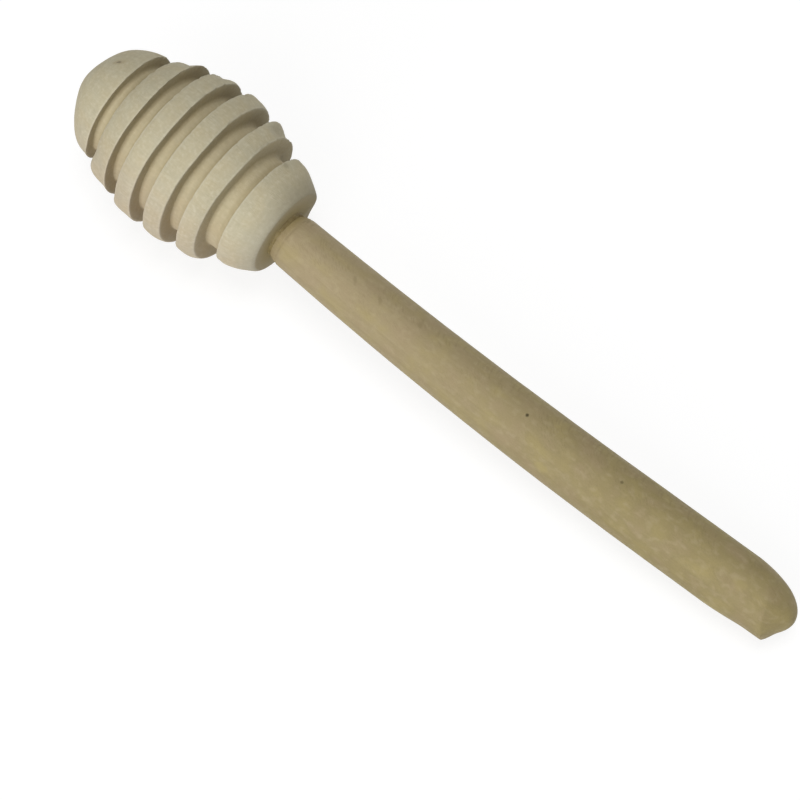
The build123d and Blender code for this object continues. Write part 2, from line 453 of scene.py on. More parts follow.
# On one side the rims in front of the grooves drift back along the axis
RIM_DRIFTS = (0.0, 0.15, 0.2, 0.25, 0.2)
RIM_DRIFT_Y = -3.0
RIM_DRIFT_REACH = (1.3, 9.0, 7.0)
for start, edge, drift in zip(groove_starts, front_edges, RIM_DRIFTS):
    press(head, (start, RIM_DRIFT_Y, -edge), RIM_DRIFT_REACH, (drift, 0.0, 0.0))

# Small chips along the edges, and slow waves from sanding by hand
CHIP_REACH = 0.9
CHIP_SIZE = 1.1
CHIP_CONTRAST = 3.5
CHIP_BRIGHTNESS = 1.45
CHIP_DEPTH = 0.3
CHIPPED_ALL_ROUND = 0.25
HEAD_WAVE_SIZE = 5.0
HEAD_WAVES = 0.05


def chipped(co):
    """How much an edge chips: most on the side that was turned last."""
    side = -co.y / max(hypot(co.y, co.z), 1.0)
    share = CHIPPED_ALL_ROUND + (1 - CHIPPED_ALL_ROUND) * max(0.0, side)
    return beside_edge(co, CHIP_REACH) * share


mark_points(head, "chipped", chipped)
uneven(head, cloud("chips", CHIP_SIZE, CHIP_CONTRAST, CHIP_BRIGHTNESS), CHIP_DEPTH, "chipped")
uneven(head, cloud("hand_sanding", HEAD_WAVE_SIZE), HEAD_WAVES)

# Handle, drawn straight with x = 0 where the bow begins
HANDLE_STEPS = 128
HANDLE_SPACING = 0.8
END_SPACING = 0.35
HANDLE_WAVE_SIZE = 9.0
HANDLE_WAVES = 0.07
SHOULDER_SPACING = 0.25
CREASE_WIDTH = 0.3
CREASE_DEPTH = 0.12

tenon_start = -SHOULDER_LENGTH - tenon_length
tenon_face = (tenon_start, TENON_RADIUS - TENON_CHAMFER)
tenon_corner = (tenon_start + TENON_CHAMFER, TENON_RADIUS)
shoulder_foot = (-SHOULDER_LENGTH, TENON_RADIUS)
shoulder = (-SHOULDER_LENGTH, shoulder_radius)
crease = (0.0, NECK_RADIUS - CREASE_DEPTH)
shoulder_slope = (NECK_RADIUS - shoulder_radius) / SHOULDER_LENGTH
before_crease = (-CREASE_WIDTH, NECK_RADIUS - shoulder_slope * CREASE_WIDTH)
handle_profile = [(tenon_start, 0.0)]
handle_profile += straight((tenon_start, 0), tenon_face, HANDLE_SPACING)
handle_profile += [tenon_corner]
handle_profile += straight(tenon_corner, shoulder_foot, HANDLE_SPACING)
handle_profile += [shoulder]
handle_profile += straight(shoulder, before_crease, SHOULDER_SPACING)
handle_profile += [crease, (CREASE_WIDTH, NECK_RADIUS)]
bow_points = ceil(bow_length / HANDLE_SPACING)
for i in range(1, bow_points + 1):
    share = i / bow_points
    radius = NECK_RADIUS + (GRIP_RADIUS - NECK_RADIUS) * share + 4 * SWELL * share * (1 - share)
    handle_profile.append((bow_length * share, radius))
grip_start = (bow_length, GRIP_RADIUS)
end_start = (bow_length + egg_x + egg_touch, GRIP_RADIUS)
end_corner = (bow_length + grip_length, GRIP_RADIUS)
handle_profile += straight(grip_start, end_start, HANDLE_SPACING)
handle_profile += straight(end_start, end_corner, END_SPACING)
handle_profile += straight(end_corner, (end_corner[0], 0), END_SPACING)
handle = turned("turned_handle", handle_profile, HANDLE_STEPS)

# The rounded end is worked down to a tilted egg-shaped form
EGG_SEGMENTS = 192
EGG_RINGS = 144
JUST_PAST = 0.01
put_down()
bpy.ops.mesh.primitive_uv_sphere_add(segments=EGG_SEGMENTS, ring_count=EGG_RINGS, radius=1.0)
egg = bpy.context.object
egg.matrix_world = (
    Matrix.Translation((bow_length + egg_x, egg_y, 0))
    @ Matrix.Rotation(-tilt, 4, "Z")
    @ Matrix.Diagonal((EGG_HALF_LENGTH, EGG_HALF_WIDTH, EGG_HALF_WIDTH, 1))
)
bpy.ops.object.transform_apply(location=True, rotation=True, scale=True)
mark_points(handle, "end", lambda co: 1.0 if co.x > end_start[0] + JUST_PAST else 0.0)
apply(
    handle,
    "SHRINKWRAP",
    target=egg,
    wrap_method="NEAREST_SURFACEPOINT",
    wrap_mode="INSIDE",
    vertex_group="end",
)
bpy.data.objects.remove(egg)

# The low side of the end is sanded away a little more, and its corner stands further out
LOW_SIDE_REACH = (15.0, 8.0, 9.0)
LOW_SIDE_SANDED = 0.85
LOW_CORNER_REACH = (3.6, 4.5, 8.0)
LOW_CORNER_MOVE = (0.8, 0.15, 0.0)
press(handle, (end_corner[0], GRIP_RADIUS, 0.0), LOW_SIDE_REACH, (0.0, -LOW_SIDE_SANDED, 0.0))
low_corner = bow_length + run_on_the_grip(GRIP_RADIUS, 0.0)
press(handle, (low_corner, GRIP_RADIUS, 0.0), LOW_CORNER_REACH, LOW_CORNER_MOVE)

# The bow: the handle bends over its bowed length only, and its grip stays straight
handle_low = min(point.co.x for point in handle.data.vertices)
handle_high = max(point.co.x for point in handle.data.vertices)
handle_span = handle_high - handle_low
apply(
    handle,
    "SIMPLE_DEFORM",
    deform_method="BEND",
    deform_axis="Z",
    angle=-bow_length / BOW_RADIUS,
    limits=(-handle_low / handle_span, (bow_length - handle_low) / handle_span),
)
handle.matrix_world = Matrix.Translation((bow_x, bow_y, 0)) @ Matrix.Rotation(lean, 4, "Z")
bpy.ops.object.transform_apply(location=True, rotation=True, scale=True)
uneven(handle, cloud("hand_shaping", HANDLE_WAVE_SIZE), HANDLE_WAVES)

# Glue: it fills the socket round the tenon and wets the shoulder in an uneven bead
GLUE_STEPS = 160
FILM_SPACING = 1.0
BEAD_SPACING = 0.15
BEAD_STAND = 0.3
BEAD_RUN = 0.5
BEAD_HOLLOW = -0.08
BEAD_SINK = 0.12
LUMP_SIZE = 1.4
LUMP_DEPTH = 0.14

film = TENON_RADIUS + GLUE_FILM
plug_middle = (-neck_run, 0.0)
plug_edge = (-neck_run, film)
bead_foot = (-2 * seat_gap, film)
bead_start = (-2 * seat_gap, shoulder_radius + BEAD_STAND)
bead_end = (BEAD_RUN, shoulder_radius + shoulder_slope * BEAD_RUN + GLUE_FILM / 4)
bead_inside = (BEAD_RUN, TENON_RADIUS)
tenon_end = (TENON_END_ROOM - neck_run, TENON_RADIUS)
glue_profile = [plug_middle]
glue_profile += straight(plug_middle, plug_edge, FILM_SPACING)
glue_profile += straight(plug_edge, bead_foot, FILM_SPACING)
glue_profile += straight(bead_foot, bead_start, BEAD_SPACING)
glue_profile += crowned(bead_start, bead_end, BEAD_HOLLOW, BEAD_SPACING)
glue_profile += [(BEAD_RUN, bead_end[1] - BEAD_SINK), bead_inside]
glue_profile += straight(bead_inside, tenon_end, FILM_SPACING)
glue_profile += straight(tenon_end, (tenon_end[0], 0), FILM_SPACING)
glue = turned("glue_bead", glue_profile, GLUE_STEPS)
mark_points(glue, "bead", lambda co: 1.0 if hypot(co.y, co.z) > shoulder_radius else 0.0)
uneven(glue, cloud("glue_lumps", LUMP_SIZE), LUMP_DEPTH, "bead")
glue.matrix_world = Matrix.Translation((neck_x, neck_y, 0)) @ Matrix.Rotation(lean, 4, "Z")
take(glue)
bpy.ops.object.transform_apply(location=True, rotation=True, scale=True)


# Node tools
def node(tree, kind, settings=None, takes=None):
    """Adds a node, sets its choices, and sets or links its inputs by name or number."""
    made = tree.nodes.new(kind)
    for name, value in (settings or {}).items():
        setattr(made, name, value)
    for name, value in (takes or {}).items():
        if isinstance(value, bpy.types.NodeSocket):
            tree.links.new(value, made.inputs[name])
        else:
            made.inputs[name].default_value = value
    return made


def maths(tree, operation, *values, clamp=False):
    """A Math node's result."""
    settings = {"operation": operation, "use_clamp": clamp}
    return node(tree, "ShaderNodeMath", settings, dict(enumerate(values))).outputs[0]


def vector_maths(tree, operation, *values, output="Vector"):
    """A Vector Math node's result."""
    settings = {"operation": operation}
    return node(tree, "ShaderNodeVectorMath", settings, dict(enumerate(values))).outputs[output]


def joined(tree, x, y, z):
    """Three values as one vector."""
    return node(tree, "ShaderNodeCombineXYZ", None, {0: x, 1: y, 2: z}).outputs[0]


def parted(tree, place):
    """The X, Y and Z of a vector."""
    return node(tree, "ShaderNodeSeparateXYZ", None, {0: place}).outputs


def ramp(tree, value, low, high, start=0.0, end=1.0, kind="SMOOTHSTEP"):
    """A value brought from low..high to start..end."""
    takes = {"Value": value, "From Min": low, "From Max": high, "To Min": start, "To Max": end}
    return node(tree, "ShaderNodeMapRange", {"interpolation_type": kind}, takes).outputs["Result"]


def solid(colour):
    """A colour's three values as a node's four."""
    return colour if isinstance(colour, bpy.types.NodeSocket) else (*colour, 1.0)


def blend(tree, share, first, second, how="MIX"):
    """A colour mixed from two."""
    mixed = node(tree, "ShaderNodeMix", {"data_type": "RGBA", "blend_type": how})
    for socket, value in zip(mixed.inputs[:1] + mixed.inputs[6:8], (share, solid(first), solid(second))):
        if isinstance(value, bpy.types.NodeSocket):
            tree.links.new(value, socket)
        else:
            socket.default_value = value
    return mixed.outputs[2]


def times(tree, *values):
    """Several values multiplied together."""
    product = values[0]
    for value in values[1:]:
        product = maths(tree, "MULTIPLY", product, value)
    return product


def noise(tree, place, scale, detail=2.0, roughness=0.5):
    """Smooth noise from 0 to 1, its scale given as lumps per millimetre along each axis."""
    spread = vector_maths(tree, "MULTIPLY", place, scale)
    takes = {"Vector": spread, "Scale": 1.0, "Detail": detail, "Roughness": roughness}
    return node(tree, "ShaderNodeTexNoise", None, takes).outputs["Fac"]


def new_group(name, takes, gives):
    """An empty node group with named inputs and outputs."""
    tree = bpy.data.node_groups.new(name, "ShaderNodeTree")
    for label, kind, value in takes:
        socket = tree.interface.new_socket(label, in_out="INPUT", socket_type="NodeSocket" + kind)
        if value is not None:
            socket.default_value = value
    for label in gives:
        tree.interface.new_socket(label, in_out="OUTPUT", socket_type="NodeSocketFloat")
    entry = tree.nodes.new("NodeGroupInput").outputs
    leave = tree.nodes.new("NodeGroupOutput").inputs
    return tree, entry, leave


def use(tree, group, takes):
    """Puts a group into a material with its own values."""
    made = tree.nodes.new("ShaderNodeGroup")
    made.node_tree = group
    for name, value in takes.items():
        if isinstance(value, bpy.types.NodeSocket):
            tree.links.new(value, made.inputs[name])
        else:
            made.inputs[name].default_value = value
    return made.outputs


# Effects that the finishes share. Noise scales are lumps per millimetre along X, Y and Z.
NOISE_MIDDLE = 0.5
WAVER_SCALE = (0.02, 0.07, 0.07)
LATE_WOOD_POWER = 2.2
RING_EDGE = 0.9
FIBRE_SCALE = (1.0, 2.6, 2.6)
FLECK_CORE = 0.2
FLECK_RIM = 0.55
CLUSTER_SCALE = (0.16, 0.3, 0.3)
CLUSTER_BAND = (0.42, 0.6)


def make_grain():
    """Wood about a pith off to one side: growth rings, fibres along X and slanted short flecks."""
    tree, entry, leave = new_group(
        "wood_grain",
        (
            ("Place", "Vector", None),
            ("Pith", "Vector", (0.0, 40.0, 20.0)),
            ("Ring Width", "Float", 2.0),
            ("Waver", "Float", 1.0),
            ("Fibre Length", "Float", 6.0),
            ("Fleck Length", "Float", 1.5),
            ("Fleck Width", "Float", 0.3),
            ("Fleck Slant", "Float", 0.0),
        ),
        ("Rings", "Fibres", "Flecks"),
    )
    place = entry["Place"]
    from_pith = vector_maths(tree, "SUBTRACT", place, entry["Pith"])
    across = vector_maths(tree, "MULTIPLY", from_pith, (0.0, 1.0, 1.0))
    reach = vector_maths(tree, "LENGTH", across, output="Value")
    slow = noise(tree, place, WAVER_SCALE, detail=1.0)
    waver = times(tree, maths(tree, "SUBTRACT", slow, NOISE_MIDDLE), entry["Waver"])
    turns = maths(tree, "DIVIDE", maths(tree, "ADD", reach, waver), entry["Ring Width"])
    phase = maths(tree, "FRACT", turns)
    late = maths(tree, "POWER", phase, LATE_WOOD_POWER)
    tree.links.new(times(tree, late, ramp(tree, phase, RING_EDGE, 1.0, 1.0, 0.0)), leave["Rings"])

    way = parted(tree, from_pith)
    fibre_place = joined(tree, maths(tree, "DIVIDE", way["X"], entry["Fibre Length"]), way["Y"], way["Z"])
    fibres = noise(tree, fibre_place, FIBRE_SCALE, detail=3.0, roughness=0.6)
    tree.links.new(fibres, leave["Fibres"])

    round_way = times(tree, maths(tree, "ARCTAN2", way["Z"], way["Y"]), reach)
    unrolled = joined(tree, way["X"], round_way, reach)
    settings = {"rotation_type": "Z_AXIS", "invert": True}
    takes = {"Vector": unrolled, "Angle": entry["Fleck Slant"]}
    slanted = parted(tree, node(tree, "ShaderNodeVectorRotate", settings, takes).outputs[0])
    fleck_place = joined(
        tree,
        maths(tree, "DIVIDE", slanted["X"], entry["Fleck Length"]),
        maths(tree, "DIVIDE", slanted["Y"], entry["Fleck Width"]),
        maths(tree, "DIVIDE", slanted["Z"], entry["Fleck Length"]),
    )
    cells = node(tree, "ShaderNodeTexVoronoi", {"feature": "F1"}, {"Vector": fleck_place, "Scale": 1.0})
    dashes = ramp(tree, cells.outputs["Distance"], FLECK_CORE, FLECK_RIM, 1.0, 0.0)
    clusters = ramp(tree, noise(tree, place, CLUSTER_SCALE, detail=1.0), *CLUSTER_BAND)
    tree.links.new(times(tree, dashes, clusters), leave["Flecks"])
    return tree


BROAD_SCALE = (0.7, 1.0, 1.0)
FINE_SCALE = (4.2, 5.2, 5.2)
BLOTCH_BAND = (0.25, 0.75)


def make_mottle():
    """Soft blotches at two sizes, from -1 to 1."""
    tree, entry, leave = new_group(
        "mottle", (("Place", "Vector", None), ("Size", "Float", 4.0)), ("Broad", "Fine")
    )
    size = joined(tree, entry["Size"], entry["Size"], entry["Size"])
    scaled = vector_maths(tree, "DIVIDE", entry["Place"], size)
    for label, scale, detail in (("Broad", BROAD_SCALE, 1.5), ("Fine", FINE_SCALE, 2.5)):
        lumps = noise(tree, scaled, scale, detail=detail)
        tree.links.new(ramp(tree, lumps, *BLOTCH_BAND, -1.0, 1.0, kind="LINEAR"), leave[label])
    return tree


LINE_DRIFT_SCALE = (0.1, 0.3, 0.3)
LINE_DRIFT = 0.5
LINE_CHANGE = 0.05


def make_turning_lines():
    """Fine lines round the lathe's axis, left by the cutter and the sanding."""
    tree, entry, leave = new_group(
        "turning_lines", (("Place", "Vector", None), ("Spacing", "Float", 0.3)), ("Lines",)
    )
    slow = noise(tree, entry["Place"], LINE_DRIFT_SCALE, detail=1.0)
    part = parted(tree, entry["Place"])
    shifted = maths(tree, "ADD", part["X"], times(tree, slow, LINE_DRIFT))
    row = maths(tree, "DIVIDE", shifted, entry["Spacing"])
    line_place = joined(tree, row, times(tree, part["Y"], LINE_CHANGE), times(tree, part["Z"], LINE_CHANGE))
    tree.links.new(noise(tree, line_place, (1.0, 1.0, 1.0)), leave["Lines"])
    return tree


RAGGED_SCALE = (1.6, 1.6, 1.6)
RAGGEDNESS = 0.8
MARK_CORE = 0.3


def make_mark():
    """A ragged dark spot about one place, drawn out one way."""
    tree, entry, leave = new_group(
        "mark",
        (
            ("Place", "Vector", None),
            ("Spot", "Vector", (0.0, 0.0, 0.0)),
            ("Radius", "Float", 0.5),
            ("Stretch", "Float", 1.0),
            ("Turn", "Float", 0.0),
        ),
        ("Mask",),
    )
    away = vector_maths(tree, "SUBTRACT", entry["Place"], entry["Spot"])
    settings = {"rotation_type": "Z_AXIS", "invert": True}
    turned_way = node(tree, "ShaderNodeVectorRotate", settings, {"Vector": away, "Angle": entry["Turn"]})
    part = parted(tree, turned_way.outputs[0])
    drawn_in = joined(tree, maths(tree, "DIVIDE", part["X"], entry["Stretch"]), part["Y"], part["Z"])
    reach = vector_maths(tree, "LENGTH", drawn_in, output="Value")
    share = maths(tree, "DIVIDE", reach, entry["Radius"])
    ragged = maths(tree, "SUBTRACT", noise(tree, entry["Place"], RAGGED_SCALE), NOISE_MIDDLE)
    worn = maths(tree, "ADD", share, times(tree, ragged, RAGGEDNESS))
    tree.links.new(ramp(tree, worn, MARK_CORE, 1.0, 1.0, 0.0), leave["Mask"])
    return tree


grain = make_grain()
mottle = make_mottle()
turning_lines = make_turning_lines()
mark = make_mark()


WOOD_GLOSS = 0.3
GLUE_GLOSS = 0.3
FIBRE_BAND = (0.3, 0.7)
FIBRE_ROUGH_BAND = (0.2, 0.8)
MOTTLE_SHADES = (0.95, 1.05)


def start_finish(name):
    """A material, its shader, and a place in the bench's millimetres."""
    material = bpy.data.materials.new(name)
    material.use_nodes = True
    tree = material.node_tree
    seen = node(tree, "ShaderNodeTexCoord").outputs["Object"]
    takes = {"Vector": seen, "Location": tip * MM, "Rotation": bench_turn.to_euler(), "Scale": (MM, MM, MM)}
    place = node(tree, "ShaderNodeMapping", {"vector_type": "TEXTURE"}, takes).outputs[0]
    return material, tree, tree.nodes["Principled BSDF"], place


def carried(tree, name):
    """A share painted on the piece's points."""
    return node(tree, "ShaderNodeAttribute", {"attribute_name": name}).outputs["Fac"]


def relief(tree, shader, height, depth):
    """Bumps of a real depth in millimetres."""
    bump = node(tree, "ShaderNodeBump", None, {"Strength": 1.0, "Distance": depth * MM, "Height": height})
    tree.links.new(bump.outputs[0], shader.inputs["Normal"])


def grain_relief(tree, shader, wood, lines, shares, depth):
    """Raised fibres, turning lines and sunk flecks, by their three shares."""
    fibres, turning, flecks = shares
    height = maths(tree, "ADD", times(tree, wood["Fibres"], fibres), times(tree, lines, turning))
    height = maths(tree, "SUBTRACT", height, times(tree, wood["Flecks"], flecks))
    relief(tree, shader, height, depth)


def shaded(tree, colour, light):
    """A colour made lighter or darker by a value about 1."""
    return blend(tree, 1.0, colour, joined(tree, light, light, light), how="MULTIPLY")


def spotted(tree, place, colour, spots):
    """A colour with marks: each is a place, radius, stretch, turn in degrees, strength and colour."""
    for spot, radius, stretch, turn, strength, tint in spots:
        takes = {"Place": place, "Spot": spot, "Radius": radius, "Stretch": stretch, "Turn": radians(turn)}
        mask = use(tree, mark, takes)["Mask"]
        colour = blend(tree, times(tree, mask, strength), colour, tint)
    return colour


# The head's pale bare wood
PALE = (0.508, 0.465, 0.330)
PALE_DUSK = (0.400, 0.350, 0.225)
PALE_WARM = (0.500, 0.423, 0.258)
FLOOR_WARM = (0.530, 0.448, 0.275)
PALE_CHALK = (0.560, 0.525, 0.400)
# Painted shade: the base's back on the side that the bow turns away from
BASE_SHADED_SIDE = (0.335, 0.298, 0.203)
BASE_GREY = (0.360, 0.335, 0.255)
# Darker end grain for the walls, also used as painted shade on the grooves' far floors
END_GRAIN_AND_SHADE = (0.350, 0.280, 0.150)
ROSY = (1.0, 0.95, 0.99)
KNOT = (0.115, 0.092, 0.055)
HALO = (0.330, 0.260, 0.150)
SOAKED = (0.330, 0.260, 0.110)
PALE_RINGS = 0.18
PALE_FLECKS = 0.25
PALE_FIBRES = 0.3
PALE_WARMTH = 0.35
PALE_CHALKINESS = 0.4
PALE_LINES = (0.975, 1.025)
LINE_BAND = (0.3, 0.7)
WARM_FROM = 0.5
CHALKY_FROM = 0.1
PALE_ROUGHNESS = (0.66, 0.82)
PALE_RELIEF_SHARES = (0.6, 0.6, 0.4)
PALE_RELIEF = 0.035
BASE_BACK_AND_SHADE_SHARES = (0.7, 0.9)
SOAKED_SHARE = 0.7
FAR_SIDE_SHADE_SHARES = (0.2, 0.5)
WORN_HIGHLIGHT_SHARE = 0.6
END_GRAIN_SHARE = 0.45
FLOOR_WARMTH = 0.55
ROSY_START = 3.0
PALE_KNOT = (5.98, -5.34, -8.58)

# Its marks: each one's place, radius, stretch, turn, strength and colour
PALE_MARKS = (
    (PALE_KNOT, 1.0, 1.8, -38, 0.45, HALO),
    (PALE_KNOT, 0.36, 1.8, -38, 0.6, KNOT),
    ((41.48, -9.34, -6.47), 0.8, 1.3, 20, 0.25, KNOT),
    ((9.13, -10.9, -2.88), 1.0, 1.0, 0, 0.45, HALO),
    ((16.63, -13.5, -2.95), 1.0, 1.0, 0, 0.45, HALO),
    ((27.03, -14.63, -4.84), 0.9, 1.0, 0, 0.4, HALO),
)


def pale_head_wood():
    """The head's finish: mottled bare wood, warmer on the grooves' floors and browner on their walls."""
    material, tree, shader, place = start_finish("pale_head_wood")
    wood = use(tree, grain, {
        "Place": place,
        "Pith": (0.0, 46.0, 30.0),
        "Ring Width": 3.1,
        "Waver": 3.0,
        "Fibre Length": 7.0,
        "Fleck Length": 1.2,
        "Fleck Width": 0.3,
        "Fleck Slant": radians(15),
    })
    clouds = use(tree, mottle, {"Place": place, "Size": 3.2})
    lines = use(tree, turning_lines, {"Place": place, "Spacing": 0.4})["Lines"]
    colour = blend(tree, times(tree, wood["Rings"], PALE_RINGS), PALE, PALE_DUSK)
    colour = blend(tree, times(tree, wood["Flecks"], PALE_FLECKS), colour, PALE_DUSK)
    streaks = ramp(tree, wood["Fibres"], *FIBRE_BAND, 0.0, PALE_FIBRES, kind="LINEAR")
    colour = blend(tree, streaks, colour, PALE_DUSK)
    warm = maths(tree, "ADD", clouds["Broad"], WARM_FROM)
    warm = maths(tree, "MULTIPLY", warm, PALE_WARMTH, clamp=True)
    colour = blend(tree, warm, colour, PALE_WARM)
    chalky = maths(tree, "SUBTRACT", clouds["Fine"], CHALKY_FROM)
    chalky = maths(tree, "MULTIPLY", chalky, PALE_CHALKINESS, clamp=True)
    colour = blend(tree, chalky, colour, PALE_CHALK)

    # The base is browner towards its back, and painted shade makes it darker still on the side that the bow
    # turns away from
    part = parted(tree, place)
    towards_back = ramp(tree, part["X"], groove_ends[-1] + BASE_LENGTH / 3, head_length)
    one_side = ramp(tree, part["Y"], BASE_BACK_RADIUS / 2, -BASE_BACK_RADIUS)
    base_back_colour = blend(tree, one_side, BASE_GREY, BASE_SHADED_SIDE)
    base_back_share = times(tree, towards_back, ramp(tree, one_side, 0.0, 1.0, *BASE_BACK_AND_SHADE_SHARES))
    colour = blend(tree, base_back_share, colour, base_back_colour)
    colour = blend(tree, times(tree, carried(tree, "groove_floor"), FLOOR_WARMTH), colour, FLOOR_WARM)
    # Painted shade on the far end of each groove's floor, stronger on the side that the bow turns away from
    far_side_shade_strength = ramp(tree, part["Y"], HEAD_RADIUS, -BASE_BACK_RADIUS, *FAR_SIDE_SHADE_SHARES)
    colour = blend(tree, times(tree, carried(tree, "far_side_shade"), far_side_shade_strength), colour, END_GRAIN_AND_SHADE)
    colour = blend(tree, times(tree, carried(tree, "end_grain"), END_GRAIN_SHARE), colour, END_GRAIN_AND_SHADE)
    # Paler ring edges: partly wear and partly a painted highlight
    colour = blend(tree, times(tree, carried(tree, "worn_edge_and_highlight"), WORN_HIGHLIGHT_SHARE), colour, PALE_CHALK)

    # Glue has soaked into the back round the handle
    off_axis = vector_maths(tree, "LENGTH", joined(tree, 0.0, part["Y"], part["Z"]), output="Value")
    near_handle = ramp(tree, off_axis, BASE_BACK_RADIUS, NECK_RADIUS)
    on_the_back = ramp(tree, part["X"], head_length - 2 * EDGE_RADIUS, head_length, kind="LINEAR")
    colour = blend(tree, times(tree, near_handle, on_the_back, SOAKED_SHARE), colour, SOAKED)
    colour = shaded(tree, colour, ramp(tree, clouds["Fine"], -1.0, 1.0, *MOTTLE_SHADES, kind="LINEAR"))
    colour = shaded(tree, colour, ramp(tree, lines, *LINE_BAND, *PALE_LINES, kind="LINEAR"))
    colour = blend(tree, ramp(tree, part["Y"], ROSY_START, HEAD_RADIUS), colour, ROSY, how="MULTIPLY")
    colour = spotted(tree, place, colour, PALE_MARKS)
    tree.links.new(colour, shader.inputs["Base Color"])
    roughness = ramp(tree, wood["Fibres"], *FIBRE_ROUGH_BAND, *PALE_ROUGHNESS)
    tree.links.new(roughness, shader.inputs["Roughness"])
    shader.inputs["Specular IOR Level"].default_value = WOOD_GLOSS
    grain_relief(tree, shader, wood, lines, PALE_RELIEF_SHARES, PALE_RELIEF)
    return material


# The handle's yellower sanded wood
HONEY_NECK = (0.388, 0.312, 0.180)
HONEY_END = (0.292, 0.236, 0.105)
HONEY_DUSK = (0.230, 0.178, 0.085)
HONEY_YELLOW = (0.370, 0.300, 0.120)
HONEY_PINK = (0.345, 0.260, 0.155)
HONEY_LIGHT = (0.450, 0.370, 0.225)
SPECK = (0.055, 0.040, 0.012)
HONEY_RINGS = 0.22
HONEY_FIBRES = 0.18
HONEY_YELLOWNESS = 0.5
HONEY_PINKNESS = 0.45
HONEY_LIGHTNESS = 0.3
HONEY_FLECK_AND_SHADE_SHARES = (0.12, 0.35)
HONEY_PAINTED_SIDE_LIGHT = (1.06, 0.93)
HONEY_ROUGHNESS = (0.52, 0.7)
HONEY_RELIEF_SHARES = (0.7, 0.3, 0.5)
HONEY_RELIEF = 0.03
SOAKED_RUN = 1.4
SOAKED_AND_SHADED_SIDES = (0.15, 0.9)
SOAKED_ALONG = (0.8, 0.1)
CREASE_SHADE_SHARE = 0.45

# Its marks: each one's place, radius, stretch, turn, strength and colour
HONEY_MARKS = (
    ((102.73, -1.25, -5.46), 0.42, 1.0, 0, 0.95, SPECK),
    ((122.7, -2.33, -5.42), 0.42, 1.0, 0, 0.55, SPECK),
    ((63.86, -1.01, -5.03), 0.5, 3.0, 46, 0.45, HONEY_DUSK),
    ((69.64, -0.99, -5.1), 0.5, 3.0, 46, 0.45, HONEY_DUSK),
    ((77.94, -1.91, -4.74), 0.5, 3.0, 46, 0.45, HONEY_DUSK),
    ((150.0, -5.04, -4.38), 2.6, 1.0, 0, 0.35, HONEY_DUSK),
    ((110.17, 4.44, -4.49), 1.3, 1.3, 0, 0.45, HONEY_YELLOW),
    ((149.17, -1.08, -5.99), 1.5, 1.3, 0, 0.35, HONEY_YELLOW),
)


